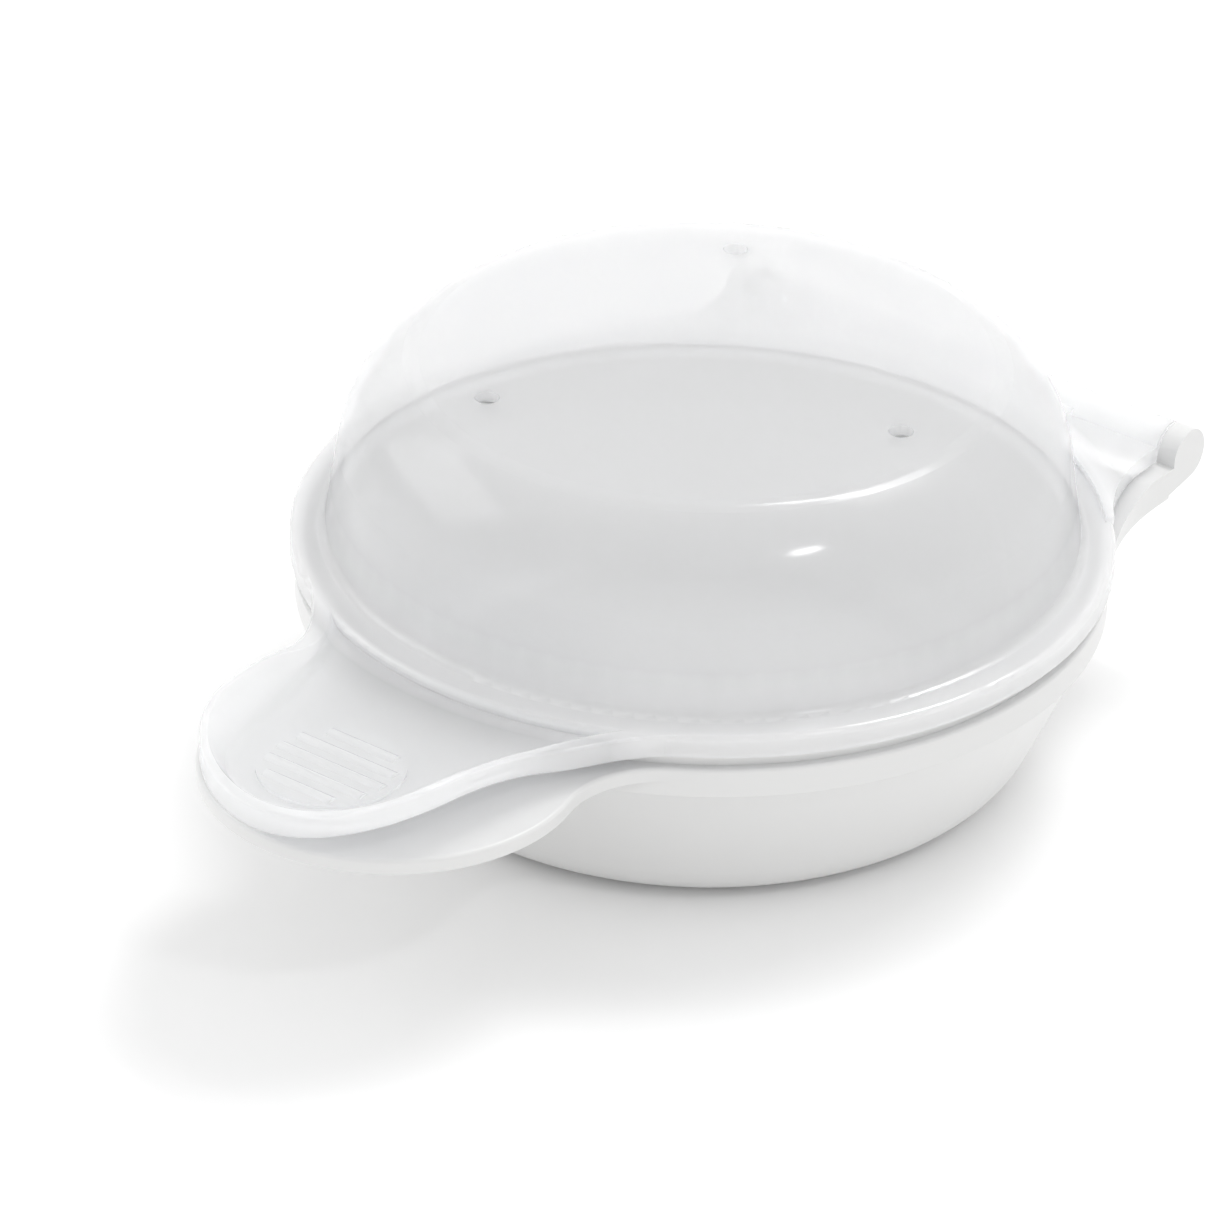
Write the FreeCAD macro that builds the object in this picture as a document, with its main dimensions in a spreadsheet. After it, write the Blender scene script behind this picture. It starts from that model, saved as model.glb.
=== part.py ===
import FreeCAD, Part
import math
import os
import Sketcher

# Microwave egg cooker: a white bowl with a handle tab and hinge ears, and a
# frosted domed lid that turns on pins moulded at the ends of its hinge bar.
# Frame: origin on the supporting surface under the middle of the bowl, Z up,
# handle towards -Y, hinge towards +Y, hinge axis parallel to X. Millimetres.

SIZES = [
    ("rim_height", 34.7),
    ("lid_radius", 60.2),
    ("lid_wall", 1.6),
    ("flange_thick", 1.7),
    ("flange_width", 5.0),
    ("flange_round", 0.9),
    ("skirt_drop", 3.3),
    ("skirt_wall", 1.6),
    ("dome_draft", 1.9),
    ("dome_shoulder_height", 13.3),
    ("dome_crest_inset", 10.5),
    ("dome_height", 27.4),
    ("crest_round", 5.0),
    ("foot_blend", 1.4),
    ("vent_inset", 8.6),
    ("vent_bore", 3.6),
    ("vent_count", 3),
    ("base_wall", 2.0),
    ("foot_inset", 18.1),
    ("foot_corner", 10.0),
    ("rim_clearance", 0.5),
    ("lip_step", 1.4),
    ("lip_ledge", 1.0),
    ("lip_height", 4.4),
    ("shelf_drop", 5.7),
    ("edge_round", 0.6),
    ("tab_thick", 2.2),
    ("tab_length", 40.0),
    ("tab_radius", 27.2),
    ("tab_neck_curve", 14.0),
    ("hinge_offset", 5.0),
    ("hinge_drop", 1.7),
    ("hinge_half_width", 41.8),
    ("hinge_plate_thick", 1.4),
    ("arm_clearance", 0.7),
    ("arm_top_length", 2.7),
    ("arm_ramp_length", 14.5),
    ("ear_radius", 4.0),
    ("ear_thick", 3.1),
    ("bar_radius", 4.0),
    ("bar_end_gap", 0.4),
    ("bar_plate_gap", 1.0),
    ("pin_radius", 1.8),
    ("pin_length", 1.6),
    ("pin_clearance", 0.08),
    ("slot_gap", 1.3),
    ("web_half_width", 23.0),
    ("lid_plate_rise", 0.9),
    ("lid_plate_inset", 2.45),
    ("scoop_length", 42.1),
    ("scoop_nose_radius", 20.5),
    ("scoop_neck_step", 1.6),
    ("scoop_neck_bend", 31.5),
    ("scoop_arch_start", 2.2),
    ("scoop_arch_blend", 33.0),
    ("scoop_arch_inset", 17.3),
    ("scoop_arch_rise", 4.15),
    ("scoop_tip_rise", 0.5),
    ("dish_radius", 14.8),
    ("dish_shift", 2.4),
    ("dish_neck_inset", 3.7),
    ("dish_wall_lean", 4.4),
    ("dish_wall", 1.3),
    ("dish_wall_over", 0.6),
    ("scoop_floor_drop", 1.5),
    ("scoop_floor_thick", 1.4),
    ("scoop_floor_blend", 2.0),
    ("scoop_edge_round", 0.4),
    ("grip_inset", 16.9),
    ("grip_radius", 10.5),
    ("grip_rise", 0.5),
    ("grip_rib_count", 5),
    ("grip_rib_pitch", 3.5),
    ("grip_rib_radius", 1.3),
    ("grip_rib_rise", 0.45),
]

doc = FreeCAD.newDocument("EggCooker")
sheet = doc.addObject("Spreadsheet::Sheet", "Sheet")
for row, (alias, value) in enumerate(SIZES, start=1):
    sheet.set("A%d" % row, alias)
    sheet.set("B%d" % row, str(value))
    sheet.setAlias("B%d" % row, alias)
doc.recompute()


class Size:
    """A length with its present value and the sheet expression that gives it."""

    def __init__(self, value, text):
        self.value = float(value)
        self.text = text

    def __add__(self, other):
        other = size(other)
        return Size(self.value + other.value, "(%s + %s)" % (self.text, other.text))

    def __sub__(self, other):
        other = size(other)
        return Size(self.value - other.value, "(%s - %s)" % (self.text, other.text))

    def __mul__(self, other):
        other = size(other)
        return Size(self.value * other.value, "(%s * %s)" % (self.text, other.text))

    def __truediv__(self, other):
        other = size(other)
        return Size(self.value / other.value, "(%s / %s)" % (self.text, other.text))

    def __neg__(self):
        return Size(-self.value, "(0 - %s)" % self.text)


def size(number):
    """Pass a Size through, or wrap a plain number."""
    if isinstance(number, Size):
        return number
    return Size(number, repr(float(number)))


def root(length):
    return Size(math.sqrt(length.value), "sqrt(%s)" % length.text)


def on_circle(radius, across):
    """Distance along the axis at which a circle has the given half width."""
    return root(radius * radius - across * across)


def flip(point):
    """The same point on the other side of the middle plane."""
    return (-size(point[0]), point[1])


def toward(centre, share):
    """The point at a share of the way from the vertical axis to a centre."""
    return (centre[0] * share, centre[1] * share)


def touch(point, centre, radius, turn):
    """Where a line from an outer point touches a circle; turn is 1 or -1 for the side."""
    vx, vy = size(point[0]) - centre[0], size(point[1]) - centre[1]
    apart = vx * vx + vy * vy
    length = root(apart - radius * radius)
    near, aside = radius * radius / apart, radius * length / apart * turn
    return (vx * near + vy * aside + centre[0], vy * near - vx * aside + centre[1])


def tangent_bend(before, start, finish):
    """Centre and radius of the arc that carries a line on to the left and ends at a point."""
    ux, uy = start[0] - before[0], start[1] - before[1]
    length = root(ux * ux + uy * uy)
    nx, ny = -uy / length, ux / length
    fx, fy = finish[0] - start[0], finish[1] - start[1]
    bend = (fx * fx + fy * fy) / ((fx * nx + fy * ny) * 2)
    return (start[0] + nx * bend, start[1] + ny * bend), bend


s = {alias: Size(value, "Sheet.%s" % alias) for alias, value in SIZES}

# Levels and radii that several pieces share
rim_z = s["rim_height"]
flange_under_z = rim_z - s["flange_thick"]
skirt_z = rim_z - s["skirt_drop"]
shelf_z = rim_z - s["shelf_drop"]
lip_under_z = shelf_z - s["lip_height"]
lid_r = s["lid_radius"]
skirt_inner = lid_r - s["skirt_wall"]
neck_outer = skirt_inner - s["rim_clearance"]
neck_inner = neck_outer - s["base_wall"]
lip_r = neck_outer + s["lip_step"]
band_r = lip_r - s["base_wall"] / 2
root_r = lid_r - s["skirt_wall"] * 0.8
hinge_y = lid_r + s["hinge_offset"]
hinge_z = rim_z - s["hinge_drop"]
heel_y = hinge_y - s["ear_radius"] * 2
ear_outer_x = s["hinge_half_width"]
ear_inner_x = ear_outer_x - s["ear_thick"]
bar_end_x = ear_inner_x - s["bar_end_gap"]
pin_end_x = bar_end_x + s["pin_length"]


def new_body(label):
    body = doc.addObject("PartDesign::Body", label)
    body.Label = label
    return body


def origin_plane(body, role):
    for feature in body.Origin.OriginFeatures:
        if feature.Role == role:
            return feature
    raise RuntimeError("no origin plane " + role)


def vec(point):
    return FreeCAD.Vector(size(point[0]).value, size(point[1]).value, 0)


class Outline:
    """A sketch whose points are placed by sheet expressions."""

    def __init__(self, body, name, role, height=None):
        self.sketch = body.newObject("Sketcher::SketchObject", name)
        self.sketch.AttachmentSupport = [(origin_plane(body, role), "")]
        self.sketch.MapMode = "FlatFace"
        if height is not None:
            self.sketch.setExpression("AttachmentOffset.Base.z", height.text)
        self.count = 0

    def bind(self, constraint, length):
        index = self.sketch.addConstraint(constraint)
        self.count += 1
        name = "c%d" % self.count
        self.sketch.renameConstraint(index, name)
        self.sketch.setExpression("Constraints." + name, length.text)

    def pin(self, geo, end, point):
        """Fix one end of a line or arc, or a circle's centre, at a point of sizes."""
        across, along = size(point[0]), size(point[1])
        if across.value == 0.0:
            self.sketch.addConstraint(Sketcher.Constraint("PointOnObject", geo, end, -2))
        else:
            self.bind(Sketcher.Constraint("DistanceX", geo, end, across.value), across)
        if along.value == 0.0:
            self.sketch.addConstraint(Sketcher.Constraint("PointOnObject", geo, end, -1))
        else:
            self.bind(Sketcher.Constraint("DistanceY", geo, end, along.value), along)

    def radius(self, geo, length):
        self.bind(Sketcher.Constraint("Radius", geo, length.value), length)

    def run(self, *points):
        """Straight lines through the points in turn."""
        for start, finish in zip(points, points[1:]):
            geo = self.sketch.addGeometry(Part.LineSegment(vec(start), vec(finish)), False)
            self.pin(geo, 1, start)
            self.pin(geo, 2, finish)

    def bow(self, centre, start, finish, length):
        """Counter-clockwise arc with pinned ends and a set radius."""
        c, a, b = vec(centre), vec(start), vec(finish)
        first = math.atan2(a.y - c.y, a.x - c.x)
        last = math.atan2(b.y - c.y, b.x - c.x)
        if last <= first:
            last += 2.0 * math.pi
        whole = Part.Circle(c, FreeCAD.Vector(0, 0, 1), length.value)
        geo = self.sketch.addGeometry(Part.ArcOfCircle(whole, first, last), False)
        self.pin(geo, 1, start)
        self.pin(geo, 2, finish)
        self.radius(geo, length)

    def circle(self, centre, length):
        geo = self.sketch.addGeometry(
            Part.Circle(vec(centre), FreeCAD.Vector(0, 0, 1), length.value), False)
        self.pin(geo, 3, centre)
        self.radius(geo, length)


def feature(body, kind, name, outline=None):
    item = body.newObject("PartDesign::" + kind, name)
    if outline is not None:
        item.Profile = outline.sketch
        outline.sketch.Visibility = False
    return item


def volume_of(body):
    doc.recompute()
    return body.Shape.Volume


def pad(body, name, outline, length, both_ways=False):
    before = volume_of(body) if body.Tip else 0.0
    item = feature(body, "Pad", name, outline)
    item.setExpression("Length", length.text)
    item.Midplane = both_ways
    if volume_of(body) <= before:
        raise RuntimeError(name + " adds nothing")
    return item


def pocket(body, name, outline, length, both_ways=False, reverse=False):
    before = volume_of(body)
    item = feature(body, "Pocket", name, outline)
    item.setExpression("Length", length.text)
    item.Midplane = both_ways
    item.Reversed = reverse
    if volume_of(body) >= before:
        raise RuntimeError(name + " removes nothing")
    return item


def loft(body, kind, name, low, high):
    before = volume_of(body)
    item = feature(body, kind, name, low)
    item.Sections = [high.sketch]
    item.Ruled = True
    if volume_of(body) == before:
        raise RuntimeError(name + " changes nothing")
    return item


def revolve(body, name, outline):
    item = feature(body, "Revolution", name, outline)
    item.ReferenceAxis = (outline.sketch, ["V_Axis"])
    item.Angle = 360.0
    doc.recompute()
    return item


def mirror(body, name, items):
    item = body.newObject("PartDesign::Mirrored", name)
    item.Originals = items
    item.MirrorPlane = (origin_plane(body, "YZ_Plane"), [""])
    body.Tip = item
    doc.recompute()
    return item


def rounded(body, name, length, wanted):
    """Round the edges of the present solid that the test picks out."""
    doc.recompute()
    base = body.Tip
    edges = ["Edge%d" % (i + 1) for i, e in enumerate(base.Shape.Edges) if wanted(e)]
    if not edges:
        raise RuntimeError(name + " finds no edge")
    item = body.newObject("PartDesign::Fillet", name)
    item.Base = (base, edges)
    item.setExpression("Radius", length.text)
    doc.recompute()
    return item


def along(edge):
    """Three points along an edge, clear of its ends."""
    low, high = edge.FirstParameter, edge.LastParameter
    return [edge.valueAt(low + (high - low) * share) for share in (0.2, 0.5, 0.8)]


def ring_edge(radius, height):
    """Test for a circular edge about the vertical axis."""
    def wanted(edge):
        return all(abs(math.hypot(p.x, p.y) - radius.value) < 1e-3
                   and abs(p.z - height.value) < 1e-3 for p in along(edge))
    return wanted


def hinge_plan(outline, ring_r, inner_r, half, rear_y):
    """Plate behind a ring, with hollow flares and straight sides; its rear is left open."""
    flare = (half * half + heel_y * heel_y - ring_r * ring_r) / ((ring_r - half) * 2)
    centre = (half + flare, heel_y)
    on_ring = toward(centre, ring_r / (ring_r + flare))
    inside = toward(centre, inner_r / (ring_r + flare))
    heel = (half, heel_y)
    outline.bow(centre, heel, on_ring, flare)
    outline.run((half, rear_y), heel)
    outline.run(on_ring, inside)
    outline.bow((0, 0), inside, flip(inside), inner_r)
    outline.run(flip(inside), flip(on_ring))
    outline.bow(flip(centre), flip(on_ring), flip(heel), flare)
    outline.run(flip(heel), (-half, rear_y))


# Base: hinge plate behind the bowl, with an arm along each side that climbs to the ear

base = new_body("base")
plate_back_y = hinge_y - s["bar_radius"] - s["bar_plate_gap"]
plate_under_z = shelf_z - s["hinge_plate_thick"]
arm_top_z = flange_under_z - s["arm_clearance"]
ramp_top_y = heel_y - s["arm_top_length"]
ramp_foot_y = ramp_top_y - s["arm_ramp_length"]
hinge = Outline(base, "HingePlan", "XY_Plane", plate_under_z)
hinge_plan(hinge, lip_r, band_r, ear_outer_x, plate_back_y)
hinge.run((ear_outer_x, plate_back_y), (-ear_outer_x, plate_back_y))
pad(base, "HingePlate", hinge, arm_top_z - plate_under_z)

ramp = Outline(base, "ArmLine", "YZ_Plane")
ramp.run((0, shelf_z), (ramp_foot_y, shelf_z), (ramp_top_y, arm_top_z), (ramp_top_y, rim_z),
         (0, rim_z), (0, shelf_z))
pocket(base, "ArmRamp", ramp, lip_r * 2, both_ways=True)
bed = Outline(base, "BedPlan", "XY_Plane", shelf_z)
bed.run((ear_inner_x, 0), (ear_inner_x, hinge_y), (-ear_inner_x, hinge_y), (-ear_inner_x, 0),
        (ear_inner_x, 0))
pocket(base, "HingeBed", bed, s["shelf_drop"], reverse=True)

# Base: round-nosed ears that carry the lid's pins

ear = Outline(base, "EarProfile", "YZ_Plane", ear_inner_x)
hinge_line = (hinge_y, hinge_z)
ear_front_y = hinge_y - s["ear_radius"]
ear_low = touch((heel_y, plate_under_z), hinge_line, s["ear_radius"], -1)
ear.bow(hinge_line, ear_low, (ear_front_y, hinge_z), s["ear_radius"])
ear.run((ear_front_y, hinge_z), (ear_front_y, arm_top_z), (heel_y, arm_top_z),
        (heel_y, plate_under_z), ear_low)
ear_pad = pad(base, "Ear", ear, s["ear_thick"])
mirror(base, "EarPair", [ear_pad])

# Base: bowl, lip band and raised rim, turned about Z

bowl = Outline(base, "BowlProfile", "XZ_Plane")
foot_r = lip_r - s["foot_inset"]
wall_top = (lip_r - s["lip_ledge"], lip_under_z)
slope_top = (neck_inner, lip_under_z)
corner_c = (foot_r, s["foot_corner"])
inner_corner = s["foot_corner"] - s["base_wall"]
wall_foot = touch(wall_top, corner_c, s["foot_corner"], 1)
slope_foot = touch(slope_top, corner_c, inner_corner, 1)
bowl.run((0, s["base_wall"]), (0, 0), (foot_r, 0))
bowl.bow(corner_c, (foot_r, 0), wall_foot, s["foot_corner"])
bowl.run(wall_foot, wall_top, (lip_r, lip_under_z), (lip_r, shelf_z), (neck_outer, shelf_z),
         (neck_outer, flange_under_z), (neck_inner, flange_under_z), slope_top, slope_foot)
bowl.bow(corner_c, (foot_r, s["base_wall"]), slope_foot, inner_corner)
bowl.run((foot_r, s["base_wall"]), (0, s["base_wall"]))
revolve(base, "Bowl", bowl)

# Base: round handle tab, a flat plate level with the shelf

tab_nose_r = s["tab_radius"]
tab_nose_y = tab_nose_r - lip_r - s["tab_length"]
curve_r = s["tab_neck_curve"]
from_axis = lip_r + curve_r
from_nose = tab_nose_r + curve_r
curve_y = (from_axis * from_axis - from_nose * from_nose
           + tab_nose_y * tab_nose_y) / (tab_nose_y * 2)
curve_c = (on_circle(from_axis, curve_y), curve_y)
on_lip = toward(curve_c, lip_r / from_axis)
in_band = toward(curve_c, band_r / from_axis)
on_nose = (curve_c[0] * (tab_nose_r / from_nose),
           tab_nose_y + (curve_y - tab_nose_y) * (tab_nose_r / from_nose))

tab = Outline(base, "TabPlan", "XY_Plane", shelf_z - s["tab_thick"])
tab.bow((0, tab_nose_y), flip(on_nose), on_nose, tab_nose_r)
tab.bow(curve_c, on_lip, on_nose, curve_r)
tab.run(on_lip, in_band)
tab.bow((0, 0), flip(in_band), in_band, band_r)
tab.run(flip(in_band), flip(on_lip))
tab.bow(flip(curve_c), flip(on_nose), flip(on_lip), curve_r)
pad(base, "HandleTab", tab, s["tab_thick"])

# Base: blind sockets for the pins, and rounded top edges

socket = Outline(base, "SocketCircle", "YZ_Plane", ear_inner_x)
socket.circle(hinge_line, s["pin_radius"] + s["pin_clearance"])
socket_cut = pocket(base, "PinSocket", socket, s["pin_length"], reverse=True)
mirror(base, "SocketPair", [socket_cut])


def outer_top_edge(edge):
    """Test for the free top edge of the lip band, the handle tab and the flares."""
    return all(abs(p.z - shelf_z.value) < 1e-3 and p.y < ramp_foot_y.value - 0.1
               and math.hypot(p.x, p.y) > lip_r.value - 1e-3 for p in along(edge))


rounded(base, "TopEdgeRound", s["edge_round"], outer_top_edge)
rounded(base, "RimTopRound", s["edge_round"], ring_edge(neck_inner, flange_under_z))

# Lid: plan of the scoop-shaped handle, a round nose with straight sides and a flared neck

lid = new_body("lid")
nose_r = s["scoop_nose_radius"]
nose_y = nose_r - lid_r - s["scoop_length"]
bend_r = s["scoop_neck_bend"]
bend_x = nose_r + s["scoop_neck_step"] + bend_r
bend_far = lid_r - s["flange_round"] / 2 + bend_r
bend_y = -on_circle(bend_far, bend_x)


def scoop_plan(name, height, nose, centre_y, bend):
    """Plan of the handle with a given nose circle, between hollow necks of a given bend."""
    plan = Outline(lid, name, "XY_Plane", height)
    reach, gap = nose + bend, bend_y - centre_y
    apart = bend_x * bend_x + gap * gap
    side = root(apart - reach * reach)
    side_nx = (bend_x * reach + gap * side) / apart
    side_ny = (gap * reach - bend_x * side) / apart
    nose_end = (side_nx * nose, centre_y + side_ny * nose)
    shoulder = (bend_x - side_nx * bend, bend_y - side_ny * bend)
    foot = toward((bend_x, bend_y), (bend_far - bend) / bend_far)
    plan.bow((0, centre_y), flip(nose_end), nose_end, nose)
    plan.run(nose_end, shoulder)
    plan.bow((bend_x, bend_y), foot, shoulder, bend)
    plan.run(foot, flip(foot))
    plan.bow((-bend_x, bend_y), flip(shoulder), flip(foot), bend)
    plan.run(flip(shoulder), flip(nose_end))
    return plan


def dish_plan(name, height, outset):
    """Plan of the handle's dish, drawn outwards of its floor by outset."""
    return scoop_plan(name, height, s["dish_radius"] + outset, nose_y - s["dish_shift"],
                      bend_r + s["dish_neck_inset"] - outset)


# Lid: side line of the handle, level at the root, hollow, then crowned down to the tip

floor_top_z = rim_z - s["scoop_floor_drop"]
floor_under_z = floor_top_z - s["scoop_floor_thick"]
rise, front_run = s["scoop_arch_rise"], s["scoop_arch_inset"]
arch_front = (-lid_r - s["scoop_length"], rim_z + s["scoop_tip_rise"])
arch_peak = (arch_front[0] + front_run, rim_z + rise)
arch_rear = (s["scoop_arch_start"] - lid_r, rim_z)
front_fall = arch_peak[1] - arch_front[1]
front_bend = (front_run * front_run + front_fall * front_fall) / (front_fall * 2)
rear_run = arch_rear[0] - arch_peak[0]
rear_bends = (rear_run * rear_run + rise * rise) / (rise * 2)
hollow_bend = s["scoop_arch_blend"]
crown_bend = rear_bends - hollow_bend
share = crown_bend / rear_bends
arch_join = (arch_peak[0] + rear_run * share,
             arch_peak[1] - crown_bend + (rear_bends - rise) * share)
wall_top_z = arch_peak[1] + s["dish_wall_over"]
wall_tall = wall_top_z - floor_top_z
tall = rise + s["dome_shoulder_height"]


def arch_mask(name, drop, level):
    """Everything between the handle's arched line, lowered by drop, and a level."""
    mask = Outline(lid, name, "YZ_Plane")
    front, peak, join, rear = [(p[0], p[1] - drop)
                               for p in (arch_front, arch_peak, arch_join, arch_rear)]
    mask.bow((peak[0], peak[1] - front_bend), peak, front, front_bend)
    mask.bow((peak[0], peak[1] - crown_bend), join, peak, crown_bend)
    mask.bow((rear[0], rear[1] + hollow_bend), join, rear, hollow_bend)
    inward, outward = rear[0] + lid_r / 2, front[0] - s["skirt_drop"]
    mask.run(rear, (inward, rear[1]), (inward, level), (outward, level),
             (outward, front[1]), front)
    return mask


# Lid: arched rim, sloping dish wall and floor of the handle

block = scoop_plan("RimPlan", floor_under_z - s["scoop_floor_thick"], nose_r, nose_y, bend_r)
pad(lid, "RimBlock", block, tall)
mask_under = arch_mask("RimUnderMask", s["skirt_drop"], floor_under_z - tall)
pocket(lid, "RimUnderside", mask_under, lid_r * 2, both_ways=True)
lean, skin = s["dish_wall_lean"], s["dish_wall"]
loft(lid, "AdditiveLoft", "DishOuter",
     dish_plan("DishOuterLow", floor_under_z, skin - lean * s["scoop_floor_thick"] / wall_tall),
     dish_plan("DishOuterHigh", wall_top_z - s["skirt_drop"],
               skin + lean * (wall_tall - s["skirt_drop"]) / wall_tall))
mask_top = arch_mask("RimTopMask", size(0.0), arch_peak[1] + tall)
pocket(lid, "RimCrest", mask_top, lid_r * 2, both_ways=True)
loft(lid, "SubtractiveLoft", "DishHollow",
     dish_plan("DishInnerLow", floor_top_z, size(0.0)),
     dish_plan("DishInnerHigh", wall_top_z, lean))
root_cut = Outline(lid, "RootCircle", "XY_Plane")
root_cut.circle((0, 0), root_r)
pocket(lid, "RootTrim", root_cut, (rim_z + tall) * 2, both_ways=True)


def arch_height(across):
    """Height of the handle's arched top at a place along Y."""
    if across > arch_rear[0].value:
        return rim_z.value
    if across > arch_join[0].value:
        bend, run = hollow_bend.value, across - arch_rear[0].value
        return rim_z.value + bend - math.sqrt(bend * bend - run * run)
    bend = crown_bend.value if across > arch_peak[0].value else front_bend.value
    run = across - arch_peak[0].value
    return arch_peak[1].value - bend + math.sqrt(max(bend * bend - run * run, 0.0))


def beyond_root(point):
    return math.hypot(point.x, point.y) > root_r.value + 0.1


def crest_edge(edge):
    """Test for the long edges of the handle's arched rim."""
    points = along(edge)
    return abs(points[0].y - points[2].y) > 1e-3 and all(
        abs(p.z - arch_height(p.y)) < 2e-2 and beyond_root(p) for p in points)


def scoop_floor_edge(edge):
    """Test for the edges where the handle's sloping wall meets its floor."""
    return all(abs(p.z - floor_top_z.value) < 1e-3 and beyond_root(p) for p in along(edge))


rounded(lid, "ScoopCrestRound", s["scoop_edge_round"], crest_edge)
rounded(lid, "ScoopFloorBlend", s["scoop_floor_blend"], scoop_floor_edge)

# Lid: dome, flange and skirt, turned about Z

shell = Outline(lid, "ShellProfile", "XZ_Plane")
dome_top_z = rim_z + s["dome_height"]
dome_in_z = dome_top_z - s["lid_wall"]
shoulder_z = rim_z + s["dome_shoulder_height"]
dome_foot = (lid_r - s["flange_width"], rim_z)
dome_side = (dome_foot[0] - s["dome_draft"], shoulder_z)
crest_r = dome_side[0] - s["dome_crest_inset"]
dome_crest = (crest_r, dome_top_z)
inner_foot = (dome_foot[0] - s["lid_wall"], flange_under_z)
inner_side = (dome_side[0] - s["lid_wall"], shoulder_z)
inner_crest = (crest_r - s["lid_wall"] * 0.2, dome_in_z)
outer_c, outer_bend = tangent_bend(dome_foot, dome_side, dome_crest)
inner_c, inner_bend = tangent_bend(inner_foot, inner_side, inner_crest)
corner = s["flange_round"]
flange_end = (lid_r - corner, rim_z)
skirt_top = (lid_r, rim_z - corner)

shell.run((0, dome_in_z), (0, dome_top_z), dome_crest)
shell.bow(outer_c, dome_side, dome_crest, outer_bend)
shell.run(dome_side, dome_foot, flange_end)
shell.bow((flange_end[0], skirt_top[1]), skirt_top, flange_end, corner)
shell.run(skirt_top, (lid_r, skirt_z), (skirt_inner, skirt_z), (skirt_inner, flange_under_z),
          inner_foot, inner_side)
shell.bow(inner_c, inner_side, inner_crest, inner_bend)
shell.run(inner_crest, (0, dome_in_z))
revolve(lid, "Shell", shell)

rounded(lid, "CrestRound", s["crest_round"], ring_edge(crest_r, dome_top_z))
rounded(lid, "FootBlend", s["foot_blend"], ring_edge(dome_foot[0], rim_z))

# Lid: hinge plate with a slot each side of its middle, cross bar and pins

plate_top_z = rim_z + s["lid_plate_rise"]
plate_half = ear_outer_x - s["lid_plate_inset"]
plate_rear_y = hinge_y - s["bar_radius"] - s["slot_gap"]
web = s["web_half_width"]

plate = Outline(lid, "LidPlatePlan", "XY_Plane", flange_under_z)
hinge_plan(plate, lid_r, root_r, plate_half, plate_rear_y)
plate.run((plate_half, plate_rear_y), (web, plate_rear_y), (web, hinge_y), (-web, hinge_y),
          (-web, plate_rear_y), (-plate_half, plate_rear_y))
pad(lid, "LidHingePlate", plate, plate_top_z - flange_under_z)

bar = Outline(lid, "BarCircle", "YZ_Plane")
bar.circle(hinge_line, s["bar_radius"])
pad(lid, "HingeBar", bar, bar_end_x * 2, both_ways=True)
pin = Outline(lid, "PinCircle", "YZ_Plane")
pin.circle(hinge_line, s["pin_radius"])
pad(lid, "HingePins", pin, pin_end_x * 2, both_ways=True)

# Lid: round thumb pad on the handle's floor, with ribs across it

grip_y = arch_front[0] + s["grip_inset"]
thumb = Outline(lid, "ThumbPad", "XY_Plane", floor_top_z - s["scoop_floor_thick"] / 2)
thumb.circle((0, grip_y), s["grip_radius"])
pad(lid, "GripPad", thumb, s["grip_rise"] + s["scoop_floor_thick"] / 2)
rib_z = floor_top_z + s["grip_rise"] + s["grip_rib_rise"] - s["grip_rib_radius"]
rib_end = s["grip_radius"] - s["grip_rib_radius"]
count = int(s["grip_rib_count"].value)
for index in range(count):
    step = s["grip_rib_pitch"] * (index - (count - 1) / 2.0)
    rib = Outline(lid, "RibCircle%d" % (index + 1), "YZ_Plane")
    rib.circle((grip_y + step, rib_z), s["grip_rib_radius"])
    pad(lid, "GripRib%d" % (index + 1), rib, on_circle(rib_end, step) * 2, both_ways=True)

# Lid: steam vents through the flat top

vent = Outline(lid, "VentCircle", "XY_Plane", dome_in_z)
vent.circle((crest_r - s["vent_inset"], 0), s["vent_bore"] / 2)
vent_cut = pocket(lid, "Vent", vent, s["lid_wall"] * 2, reverse=True)
vents = lid.newObject("PartDesign::PolarPattern", "Vents")
vents.Originals = [vent_cut]
vents.Axis = (vent.sketch, ["N_Axis"])
vents.Angle = 360.0
vents.setExpression("Occurrences", s["vent_count"].text)
lid.Tip = vents
doc.recompute()

# Checks before anything is written

for item in doc.Objects:
    if "Invalid" in item.State or "Error" in item.State:
        raise RuntimeError("%s did not build: %s" % (item.Name, item.State))

pieces = [base, lid]
os.makedirs("parts", exist_ok=True)
for piece in pieces:
    shape = piece.Shape
    if shape.isNull() or not shape.isValid() or len(shape.Solids) != 1:
        raise RuntimeError("%s is not one valid solid" % piece.Label)
for piece in pieces:
    piece.Shape.exportStep("parts/%s.step" % piece.Label)
    box = piece.Shape.BoundBox
    print("%s volume %.1f box %.2f %.2f %.2f to %.2f %.2f %.2f" % (
        piece.Label, piece.Shape.Volume, box.XMin, box.YMin, box.ZMin,
        box.XMax, box.YMax, box.ZMax))
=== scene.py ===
import math

import bpy
from mathutils import Matrix, Vector

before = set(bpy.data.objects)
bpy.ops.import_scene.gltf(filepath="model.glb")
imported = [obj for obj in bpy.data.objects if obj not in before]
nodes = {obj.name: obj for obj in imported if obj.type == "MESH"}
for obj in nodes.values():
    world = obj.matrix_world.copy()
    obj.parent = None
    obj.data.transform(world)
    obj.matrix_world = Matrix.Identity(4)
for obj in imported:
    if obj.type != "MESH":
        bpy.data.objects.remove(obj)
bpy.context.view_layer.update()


scene = bpy.context.scene

# Places on the object, in metres

FLANGE_EDGE = 0.0602
DOME_FOOT = 0.0552
RIM_Z = 0.0347

# How much of what is behind it the lid covers, over the bowl, at the flange and at the handle

COVER_DOME = 0.38
COVER_FLANGE = 0.85
HANDLE_SHARE = 0.58
FOOT_BLEND = 0.001
HANDLE_BLEND = 0.003

PLASTIC_IOR = 1.49
WORLD_LIGHT = 0.83
FLOOR_SIZE = 8.0
FLOOR_Z = -0.0001


# Shader helpers

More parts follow.
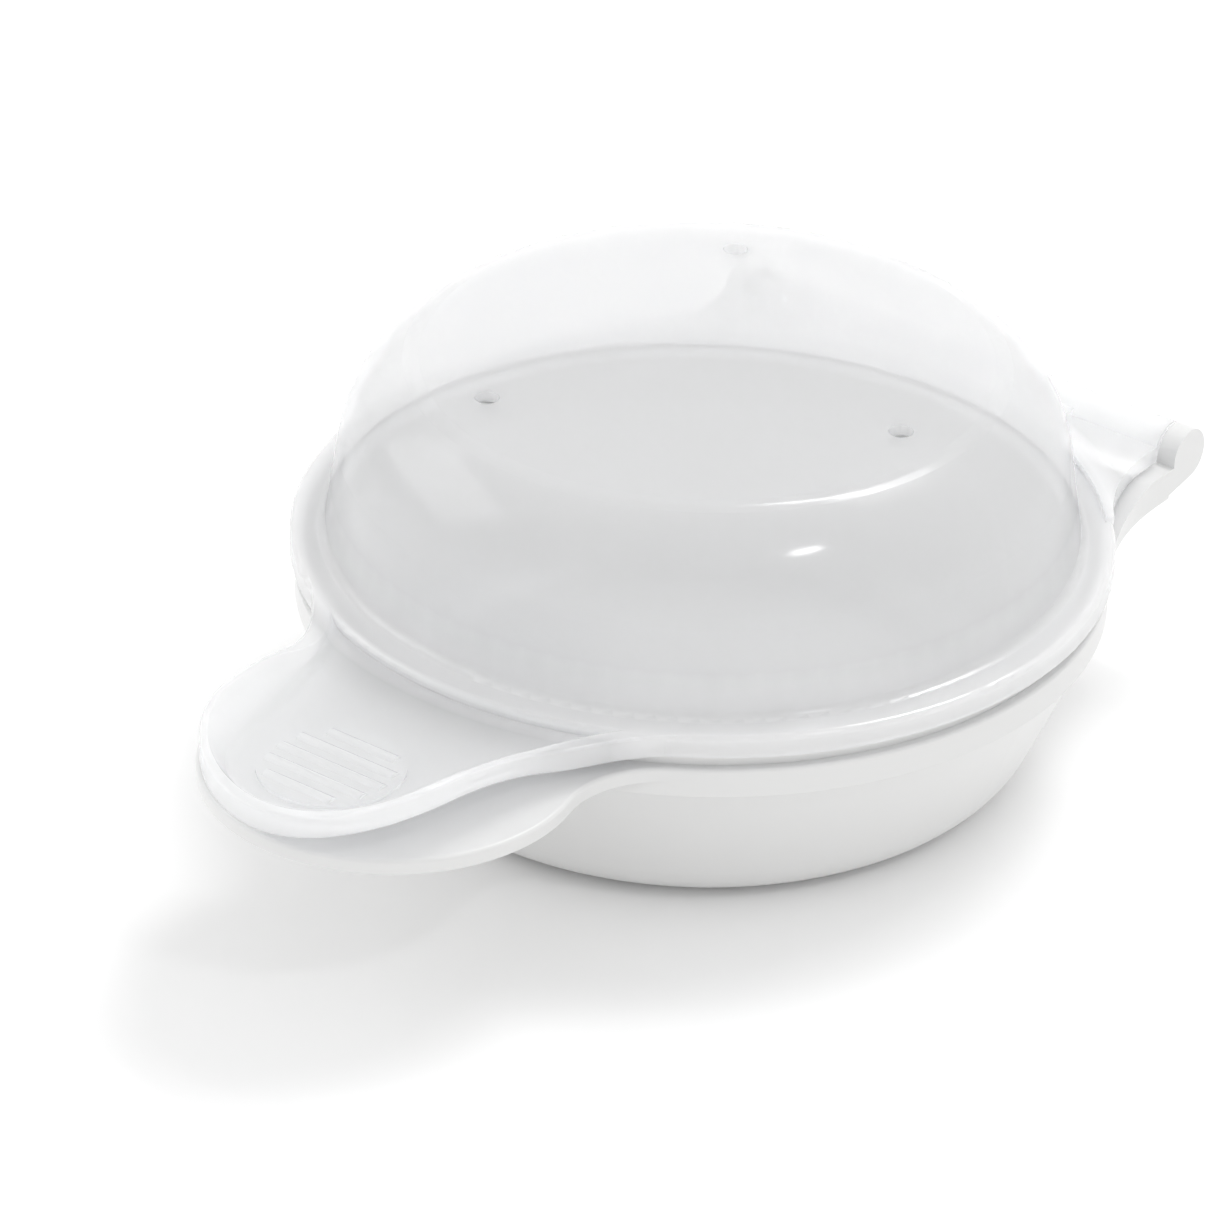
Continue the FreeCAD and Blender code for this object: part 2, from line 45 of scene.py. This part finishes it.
def new_material(name):
    mat = bpy.data.materials.new(name)
    mat.use_nodes = True
    tree = mat.node_tree
    tree.nodes.clear()
    out = tree.nodes.new("ShaderNodeOutputMaterial")
    shader = tree.nodes.new("ShaderNodeBsdfPrincipled")
    tree.links.new(shader.outputs["BSDF"], out.inputs["Surface"])
    return mat, tree, shader


def object_noise(tree, scale, detail):
    coords = tree.nodes.new("ShaderNodeTexCoord")
    noise = tree.nodes.new("ShaderNodeTexNoise")
    noise.inputs["Scale"].default_value = scale
    noise.inputs["Detail"].default_value = detail
    tree.links.new(coords.outputs["Object"], noise.inputs["Vector"])
    return noise.outputs["Fac"]


def remap(tree, source, low, high, start=0.0, end=1.0):
    node = tree.nodes.new("ShaderNodeMapRange")
    node.inputs["From Min"].default_value = start
    node.inputs["From Max"].default_value = end
    node.inputs["To Min"].default_value = low
    node.inputs["To Max"].default_value = high
    tree.links.new(source, node.inputs["Value"])
    return node.outputs["Result"]


def combine(tree, operation, first, second):
    node = tree.nodes.new("ShaderNodeMath")
    node.operation = operation
    tree.links.new(first, node.inputs[0])
    tree.links.new(second, node.inputs[1])
    return node.outputs["Value"]


def distance_from_axis(tree):
    """How far a point of the object is from the upright axis through its origin."""
    coords = tree.nodes.new("ShaderNodeTexCoord")
    flat = tree.nodes.new("ShaderNodeVectorMath")
    flat.operation = "MULTIPLY"
    flat.inputs[1].default_value = (1.0, 1.0, 0.0)
    tree.links.new(coords.outputs["Object"], flat.inputs[0])
    reach = tree.nodes.new("ShaderNodeVectorMath")
    reach.operation = "LENGTH"
    tree.links.new(flat.outputs["Vector"], reach.inputs[0])
    return reach.outputs["Value"]


def add_bump(tree, shader, source, strength, distance):
    bump = tree.nodes.new("ShaderNodeBump")
    bump.inputs["Strength"].default_value = strength
    bump.inputs["Distance"].default_value = distance
    tree.links.new(source, bump.inputs["Height"])
    tree.links.new(bump.outputs["Normal"], shader.inputs["Normal"])


# Materials of the two mouldings

def white_plastic():
    """Opaque moulding of the bowl, its tab and its ears."""
    mat, tree, shader = new_material("white_plastic")
    shader.inputs["Base Color"].default_value = (0.76, 0.76, 0.755, 1.0)
    shader.inputs["IOR"].default_value = PLASTIC_IOR
    grain = object_noise(tree, 900.0, 3.0)
    tree.links.new(remap(tree, grain, 0.28, 0.40), shader.inputs["Roughness"])
    add_bump(tree, shader, grain, 0.15, 0.00004)
    return mat


def frosted_plastic():
    """Translucent moulding of the lid, clearest over the bowl and milkiest at the flange."""
    mat, tree, shader = new_material("frosted_plastic")
    shader.inputs["Base Color"].default_value = (0.94, 0.953, 0.985, 1.0)
    shader.inputs["IOR"].default_value = PLASTIC_IOR
    shader.inputs["Specular IOR Level"].default_value = 1.0
    shader.inputs["Alpha"].default_value = 0.5
    shader.inputs["Subsurface Weight"].default_value = 1.0
    shader.inputs["Subsurface Radius"].default_value = (0.006, 0.006, 0.006)
    shader.inputs["Subsurface Scale"].default_value = 1.0
    haze = object_noise(tree, 260.0, 3.0)
    tree.links.new(remap(tree, haze, 0.10, 0.18), shader.inputs["Roughness"])
    ripple = object_noise(tree, 55.0, 2.0)
    add_bump(tree, shader, ripple, 0.12, 0.0002)
    reach = distance_from_axis(tree)
    milky = remap(tree, reach, COVER_DOME, COVER_FLANGE,
                  DOME_FOOT - FOOT_BLEND, DOME_FOOT + FOOT_BLEND)
    handle = remap(tree, reach, 1.0, HANDLE_SHARE, FLANGE_EDGE, FLANGE_EDGE + HANDLE_BLEND)
    tree.links.new(combine(tree, "MULTIPLY", milky, handle), shader.inputs["Alpha"])
    return mat


for name, mat in (("base", white_plastic()), ("lid", frosted_plastic())):
    obj = nodes[name]
    obj.data.materials.clear()
    obj.data.materials.append(mat)
    obj.data.shade_smooth()


# Floor and backdrop

def stage_plane(name, size, z):
    mesh = bpy.data.meshes.new(name)
    half = size / 2.0
    corners = [(-half, -half, z), (half, -half, z), (half, half, z), (-half, half, z)]
    mesh.from_pydata(corners, [], [(0, 1, 2, 3)])
    obj = bpy.data.objects.new(name, mesh)
    scene.collection.objects.link(obj)
    return obj


def floor_white():
    mat, _, shader = new_material("floor_white")
    shader.inputs["Base Color"].default_value = (0.98, 0.98, 0.98, 1.0)
    shader.inputs["Roughness"].default_value = 0.9
    shader.inputs["Specular IOR Level"].default_value = 0.2
    return mat


def studio_world():
    """White where it is seen, mirrored or seen through, and a little dimmer as a light."""
    world = bpy.data.worlds.new("studio")
    world.use_nodes = True
    tree = world.node_tree
    tree.nodes.clear()
    out = tree.nodes.new("ShaderNodeOutputWorld")
    back = tree.nodes.new("ShaderNodeBackground")
    back.inputs["Color"].default_value = (1.0, 1.0, 1.0, 1.0)
    rays = tree.nodes.new("ShaderNodeLightPath").outputs
    seen = combine(tree, "MAXIMUM", rays["Is Camera Ray"], rays["Is Glossy Ray"])
    seen = combine(tree, "MAXIMUM", seen, rays["Is Transmission Ray"])
    tree.links.new(remap(tree, seen, WORLD_LIGHT, 1.0), back.inputs["Strength"])
    tree.links.new(back.outputs["Background"], out.inputs["Surface"])
    return world


floor = stage_plane("floor", FLOOR_SIZE, FLOOR_Z)
floor.data.materials.append(floor_white())
scene.world = studio_world()


# Lights

def area_light(name, place, aim, size, power):
    data = bpy.data.lights.new(name, "AREA")
    data.shape = "RECTANGLE"
    data.size, data.size_y = size
    data.energy = power
    obj = bpy.data.objects.new(name, data)
    scene.collection.objects.link(obj)
    obj.location = Vector(place)
    obj.rotation_euler = (Vector(aim) - Vector(place)).to_track_quat("-Z", "Y").to_euler()


area_light("key", (0.09, 0.62, 1.04), (0.0, 0.0, 0.02), (0.5, 0.35), 3.0)
area_light("back_strip", (-0.06, 0.49, 0.92), (0.0, 0.0, 0.05), (0.36, 0.06), 1.2)
area_light("side_panel", (0.66, -0.17, 0.78), (0.0, 0.0, 0.05), (0.12, 0.05), 0.6)
area_light("left_fill", (-1.1, -0.5, 0.7), (0.0, -0.03, 0.03), (1.0, 0.8), 3.2)


# Camera fitted to the photograph's ellipses, aimed so that the flange's centre falls on AIM_PX

AZIMUTH = math.radians(36.0)
ELEVATION = 0.5182006
ROLL = 0.0308797
DISTANCE = 1.09377
FOCAL_PX = 7503.0
IMAGE_PX = 1220.0
AIM_PX = (702.8, 523.1)
SENSOR_WIDTH = 36.0

right = Vector((math.cos(AZIMUTH), math.sin(AZIMUTH), 0.0))
back_dir = Vector((math.sin(AZIMUTH) * math.cos(ELEVATION),
                   -math.cos(AZIMUTH) * math.cos(ELEVATION), math.sin(ELEVATION)))
up = back_dir.cross(right)
rolled_right = right * math.cos(ROLL) + up * math.sin(ROLL)
rolled_up = up * math.cos(ROLL) - right * math.sin(ROLL)
aim_x = (AIM_PX[0] - IMAGE_PX / 2) / FOCAL_PX
aim_y = (IMAGE_PX / 2 - AIM_PX[1]) / FOCAL_PX
turn = Matrix.Rotation(math.atan(aim_x), 3, rolled_up)
axis_x, axis_y, axis_z = turn @ rolled_right, rolled_up.copy(), turn @ back_dir
tilt = Matrix.Rotation(-math.atan(aim_y * math.cos(math.atan(aim_x))), 3, axis_x)
axis_y, axis_z = tilt @ axis_y, tilt @ axis_z

cam_data = bpy.data.cameras.new("camera")
cam_data.sensor_fit = "HORIZONTAL"
cam_data.sensor_width = SENSOR_WIDTH
cam_data.lens = SENSOR_WIDTH * FOCAL_PX / IMAGE_PX
cam_data.clip_start = 0.05
cam_data.clip_end = 30.0
camera = bpy.data.objects.new("camera", cam_data)
scene.collection.objects.link(camera)
place = Vector((0.0, 0.0, RIM_Z)) + back_dir * DISTANCE
pose = Matrix((axis_x, axis_y, axis_z)).transposed().to_4x4()
camera.matrix_world = Matrix.Translation(place) @ pose
scene.camera = camera

scene.view_settings.view_transform = "Standard"
